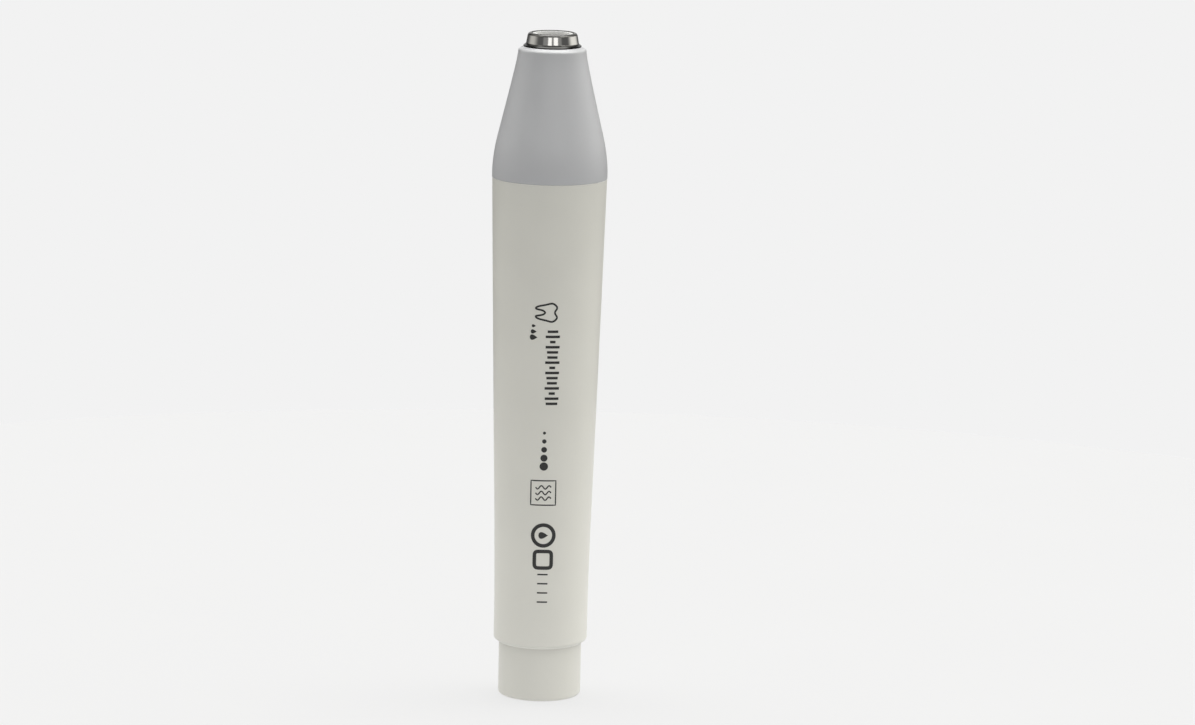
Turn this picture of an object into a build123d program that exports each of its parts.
from build123d import *
import math
import os

# Detachable ultrasonic scaler handpiece, in millimetres.
#
# A slim pen-like handpiece stands upright on its rear end, with +Z from the cord socket towards the tip.
# A tapered white shell holds a piezo transducer in a carrier tube. A threaded collar at the shell's front
# takes the screw-on nose cone, which covers a clear light guide and a plug-in ring of LEDs.
# The origin is the centre of the rear end face.

# ---- Overall outline -------------------------------------------------------------------------------
TOTAL_LENGTH = 110.4       # rear face to the rim of the nose ferrule
REAR_END_Z = 9.2           # where the shell ends and the narrower rear housing shows
SEAM_Z = 86.6              # seam between the shell and the nose cone
CONE_TOP_Z = 108.16
REAR_RADIUS = 6.83         # visible rear housing
REAR_ROUND = 0.6
SHELL_REAR_RADIUS = 7.74
SHELL_REAR_ROUND = 0.6
SHELL_REAR_BEND = (7.66, 23.0)     # nearly cylindrical below this radius and height
SHELL_FRONT_BEND = (8.18, 33.0)    # a straight taper above this one
SHELL_FRONT_RADIUS = 9.40
CONE_BASE_RADIUS = 9.44
CONE_MOUTH_RADIUS = 4.80
CONE_EDGE = (5.53, 107.70)         # radius and height where the sloping top meets the side
CONE_FLANK = ((5.62, 106.9), (6.14, 104.2), (7.26, 99.3), (8.44, 94.35))
CONE_BELLY = ((9.13, 91.05), (9.39, 88.8))
CONE_BORE = ((7.0, 95.0), (5.0, 103.7))        # radius and height down the inside
CONE_SKIRT_BORE = 8.0
SEAM_GAP = 0.05            # cone skirt to shell, screwed home
FERRULE_FLARE = (4.74, CONE_TOP_Z + 0.18)      # radius and height of the flange's outer edge
FERRULE_THROAT = (4.40, CONE_TOP_Z + 0.40)
FERRULE_WAIST = (4.28, CONE_TOP_Z + 0.66)
FERRULE_LIP_RADIUS = 4.00
FERRULE_LIP_ROUND = 0.48
FERRULE_BORE_ROUND = 0.06
FERRULE_SPIGOT_RADIUS = 4.70
FERRULE_SPIGOT_Z = 104.4
NOSE_SEAL_Z = 106.2

# ---- Running and assembly clearances ---------------------------------------------------------------
SNUG = 0.02                # radial, between parts that are glued or pressed
THREAD_GAP = 0.10          # radial, between thread crest and mating root

# ---- Nose thread: two starts, one millimetre apart -------------------------------------------------
THREAD_PITCH = 1.0
THREAD_STARTS = 2
THREAD_LEAD = THREAD_PITCH * THREAD_STARTS
MALE_CREST = 7.70
MALE_ROOT = 7.10
FEMALE_CREST = MALE_ROOT + THREAD_GAP
FEMALE_ROOT = MALE_CREST + THREAD_GAP
RIDGE_ROOT_WIDTH = 0.52
RIDGE_CREST_WIDTH = 0.24
MALE_THREAD_Z = (88.3, 90.8)
FEMALE_THREAD_Z = (88.5, 91.0)

# ---- Shell, carrier and rear housing ---------------------------------------------------------------
SHELL_REAR_BORE = 6.65
SHELL_BORE = 7.30
SHELL_BORE_Z = 36.2
COLLAR_SEAT_RADIUS = 8.20
COLLAR_SEAT_Z = 76.0
COLLAR_BORE = 6.0
COLLAR_TOP_Z = 91.2
CARRIER_INNER = 5.75
CARRIER_OUTER = 6.50
CARRIER_Z = (36.0, 84.6)
HOUSING_INNER_RADIUS = SHELL_REAR_BORE - SNUG
HOUSING_SHOULDER_Z = REAR_END_Z + 0.8
SOCKET_RADIUS = 5.40       # the cord's plug slides in here
SOCKET_DEPTH = 12.0
CORE_SEAT_RADIUS = 5.75
CORE_Z = (SOCKET_DEPTH, 24.0)

# ---- Connector -------------------------------------------------------------------------------------
CONTACT_RING = 3.5         # contacts stand on this radius
CONTACT_OUTER = 0.80
CONTACT_BORE = 0.45
CONTACT_TOP_Z = 26.6
CONTACT_COUNT = 4
WATER_PORT_RADIUS = 1.25
WATER_PORT_DEPTH = 5.0
WATER_INSERT_RADIUS = 1.70
BARB_RADIUS = 1.35
TUBE_OUTER = 2.10

# ---- Transducer ------------------------------------------------------------------------------------
STACK_RADIUS = 4.90
STACK_TOP_Z = 68.0
PIEZO_THICKNESS = 2.2
PIEZO_BORE = 2.60
ELECTRODE_THICKNESS = 0.2
PIEZO_COUNT = 4
STACK_BOTTOM_Z = STACK_TOP_Z - PIEZO_COUNT * (PIEZO_THICKNESS + ELECTRODE_THICKNESS)
BACK_MASS_Z = 44.0
BACK_STUD_RADIUS = 2.20
BACK_STUD_Z = 48.0
FLANGE_Z = (78.0, 80.4)
FLANGE_RADIUS = 5.50
ISOLATOR_THICKNESS = 1.2
WATERWAY_RADIUS = 0.60
COLUMN_RADIUS = 3.30
COLUMN_TOP_Z = 95.0
TIP_SEAT_RADIUS = 2.30
TIP_SEAT_Z = 105.6
TIP_STUD_RADIUS = 1.50     # M3 major radius
TIP_STUD_TOP_Z = 109.6

# ---- Lamp and light guide --------------------------------------------------------------------------
PIN_RING = 4.9             # lamp pins and LEDs stand on this radius
PIN_RADIUS = 0.40
PIN_Z = (83.2, 93.0)
LAMP_SOCKET_BORE = PIN_RADIUS + 0.04
LAMP_SOCKET_OUTER = 0.70
LAMP_Z = 91.3
LAMP_OUTER = 6.3
LAMP_INNER = 3.6
BOARD_Z = 92.6
BOARD_TOP_Z = 93.4
LED_COUNT = 6
LED_SIZE = (1.9, 1.4, 0.8)
GUIDE_Z = 94.7
GUIDE_TOP_Z = 110.3
GUIDE_NECK_RADIUS = 3.35
GUIDE_NECK_Z = 104.0
GUIDE_SHOULDER = (4.45, 103.4)     # radius and height where the foot's slope ends
GUIDE_BORE = 2.75

# ---- Wires -----------------------------------------------------------------------------------------
LEAD_RADIUS = 0.28
INNER_LEAD_RING = (STACK_RADIUS + CARRIER_INNER) / 2
OUTER_LEAD_RING = (CARRIER_OUTER + SHELL_BORE) / 2 + 0.02
NOTCH_WIDTH = 1.2


# ---- Helpers ---------------------------------------------------------------------------------------
def turned(*outline):
    """A solid of revolution about Z from a closed outline of (radius, height) points."""
    face = make_face(Polyline([(r, 0, z) for r, z in outline], close=True))
    return revolve(face, Axis.Z)


def tube(inner, outer, low, high):
    """A plain ring between two radii and two heights."""
    return turned((inner, low), (outer, low), (outer, high), (inner, high))


def rod(radius, low, high, x=0.0, y=0.0):
    """An upright round bar."""
    return Pos(x, y, low) * Cylinder(radius, high - low, align=(Align.CENTER, Align.CENTER, Align.MIN))


def block(width, depth, low, high, x=0.0, y=0.0):
    """An upright square bar centred on x, y."""
    centred = (Align.CENTER, Align.CENTER, Align.MIN)
    return Pos(x, y, low) * Box(width, depth, high - low, align=centred)


def o_ring(middle, section, height):
    """A rubber ring: middle radius, radius of its round section, height of its centre."""
    return Pos(0, 0, height) * Torus(middle, section)


def round_edge(solid, edge_radius, height, size, cut=fillet):
    """Rounds or chamfers the circular edge of a given radius at a given height."""
    found = [
        e for e in solid.edges()
        if e.geom_type == GeomType.CIRCLE
        and abs(e.radius - edge_radius) < 1e-3
        and abs(e.arc_center.Z - height) < 1e-3
    ]
    return cut(found, size)


def around(count, ring, first_degrees=0.0):
    """Points evenly spaced on a circle, as (x, y, degrees)."""
    angles = [first_degrees + 360.0 * i / count for i in range(count)]
    return [(ring * math.cos(math.radians(a)), ring * math.sin(math.radians(a)), a) for a in angles]


def thread_ridges(root, crest, low, high, first_degrees):
    """Helical thread ridges from a root radius to a crest radius, one for each start."""
    path = Helix(THREAD_LEAD, high - low, root)
    outward = 1.0 if crest > root else -1.0
    half_root, half_crest = RIDGE_ROOT_WIDTH / 2, RIDGE_CREST_WIDTH / 2
    embed = -0.06 * outward        # sinks the ridge's foot into the wall that carries it
    section = make_face(Polyline([
        (root + embed, 0, -half_root),
        (crest, 0, -half_crest),
        (crest, 0, half_crest),
        (root + embed, 0, half_root),
    ], close=True))
    ridge = sweep(section, path=path, is_frenet=True)
    step = 360.0 / THREAD_STARTS
    return [Pos(0, 0, low) * Rot(0, 0, first_degrees + step * i) * ridge for i in range(THREAD_STARTS)]


# ---- Casing ----------------------------------------------------------------------------------------
def handle_shell():
    """The long tapered white shell, bored for the carrier and counterbored for the collar."""
    bevel = 0.12
    side = Bezier(
        (SHELL_REAR_RADIUS, 0, REAR_END_Z),
        (SHELL_REAR_BEND[0], 0, SHELL_REAR_BEND[1]),
        (SHELL_FRONT_BEND[0], 0, SHELL_FRONT_BEND[1]),
        (SHELL_FRONT_RADIUS, 0, SEAM_Z - bevel),
    )
    inside = Polyline(
        (SHELL_FRONT_RADIUS, 0, SEAM_Z - bevel),
        (SHELL_FRONT_RADIUS - bevel, 0, SEAM_Z),
        (COLLAR_SEAT_RADIUS, 0, SEAM_Z),
        (COLLAR_SEAT_RADIUS, 0, COLLAR_SEAT_Z),
        (SHELL_BORE, 0, COLLAR_SEAT_Z),
        (SHELL_BORE, 0, SHELL_BORE_Z),
        (SHELL_REAR_BORE, 0, SHELL_BORE_Z),
        (SHELL_REAR_BORE, 0, HOUSING_SHOULDER_Z),
        (REAR_RADIUS + SNUG, 0, HOUSING_SHOULDER_Z),
        (REAR_RADIUS + SNUG, 0, REAR_END_Z),
        (SHELL_REAR_RADIUS, 0, REAR_END_Z),
    )
    shell = revolve(make_face(side + inside), Axis.Z)
    return round_edge(shell, SHELL_REAR_RADIUS, REAR_END_Z, SHELL_REAR_ROUND)


def rear_housing():
    """The narrow rear end: the cord socket below, with its keyway, and the connector's seat above."""
    ring_groove = 11.4, 12.6
    groove_root = HOUSING_INNER_RADIUS - 0.75
    housing = turned(
        (SOCKET_RADIUS, 0),
        (REAR_RADIUS, 0),
        (REAR_RADIUS, HOUSING_SHOULDER_Z),
        (HOUSING_INNER_RADIUS, HOUSING_SHOULDER_Z),
        (HOUSING_INNER_RADIUS, ring_groove[0]),
        (groove_root, ring_groove[0]),
        (groove_root, ring_groove[1]),
        (HOUSING_INNER_RADIUS, ring_groove[1]),
        (HOUSING_INNER_RADIUS, CARRIER_Z[0]),
        (CORE_SEAT_RADIUS, CARRIER_Z[0]),
        (CORE_SEAT_RADIUS, SOCKET_DEPTH),
        (SOCKET_RADIUS, SOCKET_DEPTH),
    )
    housing = round_edge(housing, REAR_RADIUS, 0, REAR_ROUND)
    housing = round_edge(housing, SOCKET_RADIUS, 0, 0.15, chamfer)
    keyway_depth, keyway_top, keyway_width = 0.45, 9.0, 1.4
    keyway = block(keyway_width, 2 * keyway_depth, 0, keyway_top, y=-SOCKET_RADIUS)
    return housing - keyway


def carrier_tube():
    """The inner tube that carries the transducer, with a seat for its rear isolator and wire notches."""
    low, high = CARRIER_Z
    seat_high = FLANGE_Z[0] - ISOLATOR_THICKNESS
    seat_low = seat_high - 1.0
    seat_bore = STACK_RADIUS + 0.3
    carrier = turned(
        (CARRIER_INNER, low),
        (CARRIER_OUTER, low),
        (CARRIER_OUTER, high),
        (CARRIER_INNER, high),
        (CARRIER_INNER, seat_high),
        (seat_bore, seat_high),
        (seat_bore, seat_low),
        (CARRIER_INNER, seat_low),
    )
    rear_notch = block(3 * CARRIER_OUTER, NOTCH_WIDTH, low, low + 6.5)
    front_notch = block(3 * CARRIER_OUTER, NOTCH_WIDTH, high - 1.7, high)
    window = block(3 * CARRIER_OUTER, 3.0, 59.2, 67.2)
    vents = [Rot(0, 0, turn) * window for turn in (45, 135)]
    return carrier - rear_notch - front_notch - vents


def front_collar():
    """The metal collar glued into the shell's mouth; its spigot carries the male nose thread."""
    seal_groove = 78.0, 79.1
    groove_root = COLLAR_SEAT_RADIUS - 0.75
    low = COLLAR_SEAT_Z + SNUG
    outer = COLLAR_SEAT_RADIUS - SNUG
    collar = turned(
        (SHELL_BORE, low),
        (outer, low),
        (outer, seal_groove[0]),
        (groove_root, seal_groove[0]),
        (groove_root, seal_groove[1]),
        (outer, seal_groove[1]),
        (outer, SEAM_Z),
        (MALE_ROOT - 0.05, SEAM_Z),
        (MALE_ROOT - 0.05, SEAM_Z + 1.2),
        (MALE_ROOT, SEAM_Z + 1.2),
        (MALE_ROOT, COLLAR_TOP_Z - 0.2),
        (MALE_ROOT - 0.2, COLLAR_TOP_Z),
        (COLLAR_BORE, COLLAR_TOP_Z),
        (COLLAR_BORE, CARRIER_Z[1]),
        (SHELL_BORE, CARRIER_Z[1]),
    )
    for ridge in thread_ridges(MALE_ROOT, MALE_CREST, *MALE_THREAD_Z, first_degrees=0):
        collar += ridge
    return collar


# ---- Connector -------------------------------------------------------------------------------------
def connector_core():
    """The insulating plug that holds the contacts and the water insert."""
    groove = 19.8, 20.8
    outer = CORE_SEAT_RADIUS - SNUG
    root = outer - 0.62
    core = turned(
        (0, CORE_Z[0]),
        (outer, CORE_Z[0]),
        (outer, groove[0]),
        (root, groove[0]),
        (root, groove[1]),
        (outer, groove[1]),
        (outer, CORE_Z[1]),
        (0, CORE_Z[1]),
    )
    core -= rod(WATER_INSERT_RADIUS + SNUG, *CORE_Z)
    for x, y, _ in around(CONTACT_COUNT, CONTACT_RING):
        core -= rod(CONTACT_OUTER + SNUG, *CORE_Z, x, y)
    return core


def core_lock_ring():
    """The slotted ring that holds the core down on its shoulder."""
    low, high = CORE_Z[1] + SNUG, CORE_Z[1] + 2.0
    ring = tube(4.75, CORE_SEAT_RADIUS - SNUG, low, high)
    slot = block(3 * CORE_SEAT_RADIUS, 1.0, high - 0.8, high)
    return ring - [Rot(0, 0, turn) * slot for turn in (45, 135)]


def contact_socket(x, y):
    """A gold-plated female contact with a solder cup at its inner end."""
    contact = rod(CONTACT_OUTER, CORE_Z[0], CONTACT_TOP_Z)
    contact -= rod(CONTACT_BORE, CORE_Z[0], CORE_Z[0] + 8.0)
    contact -= rod(0.5, CONTACT_TOP_Z - 1.6, CONTACT_TOP_Z)
    return Pos(x, y, 0) * contact


def water_insert():
    """The metal tube through the core: a port for the plug's nipple, and a barb for the hose."""
    barb_top, channel = 31.0, 0.8
    port_top = CORE_Z[0] + WATER_PORT_DEPTH
    return turned(
        (WATER_PORT_RADIUS, CORE_Z[0]),
        (WATER_INSERT_RADIUS, CORE_Z[0]),
        (WATER_INSERT_RADIUS, CORE_Z[1] + 1.0),
        (BARB_RADIUS - 0.15, CORE_Z[1] + 1.0),
        (BARB_RADIUS - 0.15, barb_top - 1.4),
        (BARB_RADIUS, barb_top - 1.4),
        (BARB_RADIUS - 0.25, barb_top),
        (channel, barb_top),
        (channel, port_top),
        (WATER_PORT_RADIUS, port_top),
    )


def water_tube():
    """The silicone hose from the connector's barb to the one on the back mass."""
    return tube(BARB_RADIUS + 0.01, TUBE_OUTER, CORE_Z[1] + 1.6, BACK_MASS_Z - 0.5)


# ---- Transducer ------------------------------------------------------------------------------------
def horn():
    """The titanium horn, bored for water: rear stud, body, flange, column, tip seat and M3 stud."""
    groove_middle, groove_half, groove_root = 102.4, 0.5, 1.88
    solid = turned(
        (WATERWAY_RADIUS, BACK_STUD_Z),
        (BACK_STUD_RADIUS, BACK_STUD_Z),
        (BACK_STUD_RADIUS, STACK_TOP_Z),
        (STACK_RADIUS, STACK_TOP_Z),
        (STACK_RADIUS, FLANGE_Z[0]),
        (FLANGE_RADIUS, FLANGE_Z[0]),
        (FLANGE_RADIUS, FLANGE_Z[1]),
        (COLUMN_RADIUS + 0.6, FLANGE_Z[1]),
        (COLUMN_RADIUS, FLANGE_Z[1] + 3.4),
        (COLUMN_RADIUS, COLUMN_TOP_Z),
        (TIP_SEAT_RADIUS, COLUMN_TOP_Z + 5.0),
        (TIP_SEAT_RADIUS, groove_middle - groove_half),
        (groove_root, groove_middle - groove_half),
        (groove_root, groove_middle + groove_half),
        (TIP_SEAT_RADIUS, groove_middle + groove_half),
        (TIP_SEAT_RADIUS, TIP_SEAT_Z),
        (TIP_STUD_RADIUS, TIP_SEAT_Z),
        (TIP_STUD_RADIUS, TIP_STUD_TOP_Z),
        (WATERWAY_RADIUS, TIP_STUD_TOP_Z),
    )
    flange_flats = [
        block(1.0, 2 * FLANGE_RADIUS, *FLANGE_Z, x=side * (FLANGE_RADIUS + 0.2)) for side in (-1, 1)
    ]
    return solid - flange_flats


def back_mass():
    """The steel counter mass: a long nut on the horn's rear stud, with spanner flats and a hose barb."""
    barb_low, channel = 40.0, 0.8
    mass = turned(
        (channel, barb_low),
        (BARB_RADIUS - 0.25, barb_low),
        (BARB_RADIUS, barb_low + 1.4),
        (BARB_RADIUS - 0.15, barb_low + 1.4),
        (BARB_RADIUS - 0.15, BACK_MASS_Z),
        (STACK_RADIUS - 0.4, BACK_MASS_Z),
        (STACK_RADIUS, BACK_MASS_Z + 0.4),
        (STACK_RADIUS, STACK_BOTTOM_Z),
        (BACK_STUD_RADIUS + SNUG, STACK_BOTTOM_Z),
        (BACK_STUD_RADIUS + SNUG, BACK_STUD_Z - SNUG),
        (channel, BACK_STUD_Z - SNUG),
    )
    flats = [
        block(1.0, 2 * STACK_RADIUS, BACK_MASS_Z, BACK_MASS_Z + 4.0, x=side * (STACK_RADIUS + 0.05))
        for side in (-1, 1)
    ]
    return mass - flats


def electrode(low, lead_degrees):
    """A thin copper disc with a pierced solder tab for its lead."""
    high = low + ELECTRODE_THICKNESS
    tab_end = INNER_LEAD_RING + 0.36
    tab = block(tab_end, 1.5, low, high, x=tab_end / 2)
    disc = rod(STACK_RADIUS, low, high) + tab
    disc -= rod(PIEZO_BORE, low, high)
    disc -= rod(LEAD_RADIUS + SNUG, low, high, INNER_LEAD_RING)
    return Rot(0, 0, lead_degrees) * disc


def transducer_stack():
    """Piezo rings and electrodes by name, from the horn downwards."""
    found = {}
    top = STACK_TOP_Z
    for i in range(1, PIEZO_COUNT + 1):
        found[f"piezo_ring_{i}"] = tube(PIEZO_BORE, STACK_RADIUS, top - PIEZO_THICKNESS, top)
        top -= PIEZO_THICKNESS + ELECTRODE_THICKNESS
        found[f"electrode_{i}"] = electrode(top, 90 if i % 2 else 270)
    return found


# ---- Lamp ------------------------------------------------------------------------------------------
def lamp_contact_holder():
    """The insulating bush in the collar that holds the two lamp pins."""
    low, high = CARRIER_Z[1], COLLAR_TOP_Z - 0.3
    bush = tube(COLUMN_RADIUS + 0.4, COLLAR_BORE - SNUG, low, high)
    for x, y, _ in around(2, PIN_RING):
        bush -= rod(PIN_RADIUS + SNUG / 2, low, high, x, y)
    return bush


def lamp_housing():
    """The moulded ring under the lamp board."""
    ring = tube(LAMP_INNER, LAMP_OUTER, LAMP_Z, BOARD_Z)
    ring = round_edge(ring, LAMP_OUTER, LAMP_Z, 0.25)
    for x, y, _ in around(2, PIN_RING):
        ring -= rod(LAMP_SOCKET_OUTER + SNUG / 2, LAMP_Z, BOARD_Z, x, y)
    return ring


def lamp_board():
    """The round circuit board that carries the LEDs."""
    board = tube(LAMP_INNER, LAMP_OUTER - 0.1, BOARD_Z, BOARD_TOP_Z)
    for x, y, _ in around(2, PIN_RING):
        board -= rod(LAMP_SOCKET_OUTER + SNUG / 2, BOARD_Z, BOARD_TOP_Z, x, y)
    return board


def led(x, y, turn):
    """A surface-mount LED with a chamfered top."""
    width, depth, height = LED_SIZE
    chip = block(depth, width, 0, height)
    chip = chamfer(chip.faces().sort_by(Axis.Z)[-1].edges(), 0.15)
    return Pos(x, y, BOARD_TOP_Z) * Rot(0, 0, turn) * chip


def light_guide():
    """The clear moulding that carries the LEDs' light to the nose: a wide foot and a narrow neck."""
    guide = turned(
        (COLUMN_RADIUS + 0.3, GUIDE_Z),
        (LAMP_OUTER, GUIDE_Z),
        (LAMP_OUTER, GUIDE_Z + 1.3),
        GUIDE_SHOULDER,
        (GUIDE_NECK_RADIUS, GUIDE_NECK_Z),
        (GUIDE_NECK_RADIUS, GUIDE_TOP_Z),
        (GUIDE_BORE, GUIDE_TOP_Z),
        (GUIDE_BORE, COLUMN_TOP_Z + 5.4),
        (COLUMN_RADIUS + 0.3, COLUMN_TOP_Z + 0.6),
    )
    guide = round_edge(guide, LAMP_OUTER, GUIDE_Z, 0.3)
    return round_edge(guide, GUIDE_NECK_RADIUS, GUIDE_TOP_Z, 0.1)


# ---- Nose ------------------------------------------------------------------------------------------
def nose_cone():
    """The screw-on cone: long flank, soft belly, female thread inside its skirt."""
    low = SEAM_Z + SEAM_GAP
    edge = (CONE_EDGE[0], 0, CONE_EDGE[1])
    base = (CONE_BASE_RADIUS, 0, low)
    between = [(r, 0, z) for r, z in CONE_FLANK + CONE_BELLY]
    side = Spline([edge, *between, base], tangents=[(0.07, 0, -1.0), (0, 0, -1.0)])
    inside = Polyline(
        base,
        (CONE_SKIRT_BORE, 0, low),
        (CONE_SKIRT_BORE, 0, SEAM_Z + 1.3),
        (FEMALE_ROOT, 0, SEAM_Z + 1.5),
        (FEMALE_ROOT, 0, FEMALE_THREAD_Z[1] + 0.6),
        *[(r, 0, z) for r, z in CONE_BORE],
        (FERRULE_SPIGOT_RADIUS, 0, FERRULE_SPIGOT_Z - 0.2),
        (FERRULE_SPIGOT_RADIUS, 0, CONE_TOP_Z),
        (CONE_MOUTH_RADIUS, 0, CONE_TOP_Z),
        edge,
    )
    cone = revolve(make_face(side + inside), Axis.Z)
    cone = round_edge(cone, *CONE_EDGE, 0.45)
    half_turn_of_pitch = 360.0 * (THREAD_PITCH / 2) / THREAD_LEAD
    offset = half_turn_of_pitch + 360.0 * (FEMALE_THREAD_Z[0] - MALE_THREAD_Z[0]) / THREAD_LEAD
    for ridge in thread_ridges(FEMALE_ROOT, FEMALE_CREST, *FEMALE_THREAD_Z, first_degrees=offset):
        cone += ridge
    return cone


def nose_ferrule():
    """The polished ring pressed into the cone's mouth, flared where it meets the cone."""
    neck_bore = GUIDE_NECK_RADIUS + 0.08
    groove_root, groove_half = 4.12, 0.45
    low = FERRULE_SPIGOT_Z
    spigot = FERRULE_SPIGOT_RADIUS - SNUG
    flare_end, throat, waist = [(r, 0, z) for r, z in (FERRULE_FLARE, FERRULE_THROAT, FERRULE_WAIST)]
    flare = Spline([flare_end, throat, waist], tangents=[(-1.0, 0, 0.9), (-0.18, 0, 1.0)])
    rest = Polyline(
        waist,
        (FERRULE_LIP_RADIUS, 0, TOTAL_LENGTH),
        (neck_bore, 0, TOTAL_LENGTH),
        (neck_bore, 0, NOSE_SEAL_Z + groove_half),
        (groove_root, 0, NOSE_SEAL_Z + groove_half),
        (groove_root, 0, NOSE_SEAL_Z - groove_half),
        (neck_bore, 0, NOSE_SEAL_Z - groove_half),
        (neck_bore, 0, low),
        (spigot, 0, low),
        (spigot, 0, CONE_TOP_Z + SNUG),
        (FERRULE_FLARE[0], 0, CONE_TOP_Z + SNUG),
        flare_end,
    )
    ferrule = revolve(make_face(flare + rest), Axis.Z)
    ferrule = round_edge(ferrule, FERRULE_LIP_RADIUS, TOTAL_LENGTH, FERRULE_LIP_ROUND)
    return round_edge(ferrule, neck_bore, TOTAL_LENGTH, FERRULE_BORE_ROUND)


# ---- Wires -----------------------------------------------------------------------------------------
def lead(turn, corners, bends):
    """A round wire along (radius, height) corners in the upright plane at a given angle."""
    path = FilletPolyline([(r, 0, z) for r, z in corners], radius=bends)
    section = Plane(origin=path @ 0, z_dir=path % 0) * Circle(LEAD_RADIUS)
    return Rot(0, 0, turn) * sweep(section, path=path)


def piezo_lead(turn, top):
    """From a contact's solder cup, up beside the stack, through its electrodes' tabs."""
    start = CONTACT_TOP_Z - 1.5
    corners = [(CONTACT_RING, start), (CONTACT_RING, start + 4.5), (INNER_LEAD_RING, start + 10.0)]
    return lead(turn, corners + [(INNER_LEAD_RING, top)], [6.0, 6.0])


def lamp_lead(turn):
    """From a contact's solder cup, out through the carrier's notch, up its outside and in to a lamp pin."""
    start = CONTACT_TOP_Z - 1.5
    turn_in_z = CARRIER_Z[1] - 0.9
    corners = [
        (CONTACT_RING, start),
        (CONTACT_RING, start + 6.5),
        (OUTER_LEAD_RING, start + 17.0),
        (OUTER_LEAD_RING, turn_in_z),
        (PIN_RING + PIN_RADIUS - 0.05, turn_in_z),
    ]
    return lead(turn, corners, [6.0, 6.0, 0.8])


# ---- Assembly --------------------------------------------------------------------------------------
def build_parts():
    """Every sub-part by node name."""
    carrier_fit = CARRIER_INNER - SNUG
    isolator_low = FLANGE_Z[0] - ISOLATOR_THICKNESS
    isolator_high = FLANGE_Z[1] + ISOLATOR_THICKNESS
    clamp_bore = 4.2
    parts = {
        "handle_shell": handle_shell(),
        "rear_housing": rear_housing(),
        "housing_o_ring": o_ring(6.28, 0.36, 12.0),
        "connector_core": connector_core(),
        "core_o_ring": o_ring(5.43, 0.31, 20.3),
        "core_lock_ring": core_lock_ring(),
        "water_insert": water_insert(),
        "water_tube": water_tube(),
        "carrier_tube": carrier_tube(),
        "horn": horn(),
        "horn_o_ring": o_ring(2.30, 0.41, 102.4),
        "isolator_rear": tube(STACK_RADIUS + 0.05, carrier_fit, isolator_low, FLANGE_Z[0]),
        "isolator_front": tube(clamp_bore, carrier_fit, FLANGE_Z[1], isolator_high),
        "flange_clamp_ring": tube(clamp_bore, carrier_fit, isolator_high, isolator_high + 1.0),
        "stud_insulator": tube(BACK_STUD_RADIUS + SNUG, PIEZO_BORE - SNUG, STACK_BOTTOM_Z, STACK_TOP_Z),
        "back_mass": back_mass(),
        "front_collar": front_collar(),
        "collar_rear_o_ring": o_ring(7.80, 0.35, 78.55),
        "collar_front_o_ring": o_ring(7.50, 0.44, SEAM_Z + 0.6),
        "lamp_contact_holder": lamp_contact_holder(),
        "piezo_lead_live": piezo_lead(90, STACK_TOP_Z - 2.0),
        "piezo_lead_ground": piezo_lead(270, STACK_TOP_Z - 4.0),
        "lamp_housing": lamp_housing(),
        "lamp_board": lamp_board(),
        "light_guide": light_guide(),
        "nose_seal": o_ring(3.74, 0.34, NOSE_SEAL_Z),
        "nose_cone": nose_cone(),
        "nose_ferrule": nose_ferrule(),
    }
    parts.update(transducer_stack())
    for i, (x, y, _) in enumerate(around(CONTACT_COUNT, CONTACT_RING), 1):
        parts[f"contact_socket_{i}"] = contact_socket(x, y)
    lamp_socket = tube(LAMP_SOCKET_BORE, LAMP_SOCKET_OUTER, LAMP_Z, BOARD_TOP_Z)
    for i, (x, y, turn) in enumerate(around(2, PIN_RING), 1):
        parts[f"lamp_pin_{i}"] = rod(PIN_RADIUS, *PIN_Z, x, y)
        parts[f"lamp_socket_{i}"] = Pos(x, y, 0) * lamp_socket
        parts[f"lamp_lead_{i}"] = lamp_lead(turn)
    for i, (x, y, turn) in enumerate(around(LED_COUNT, PIN_RING, 30.0), 1):
        parts[f"led_{i}"] = led(x, y, turn)
    return parts


os.makedirs("parts", exist_ok=True)
for name, shape in build_parts().items():
    export_step(shape, f"parts/{name}.step")
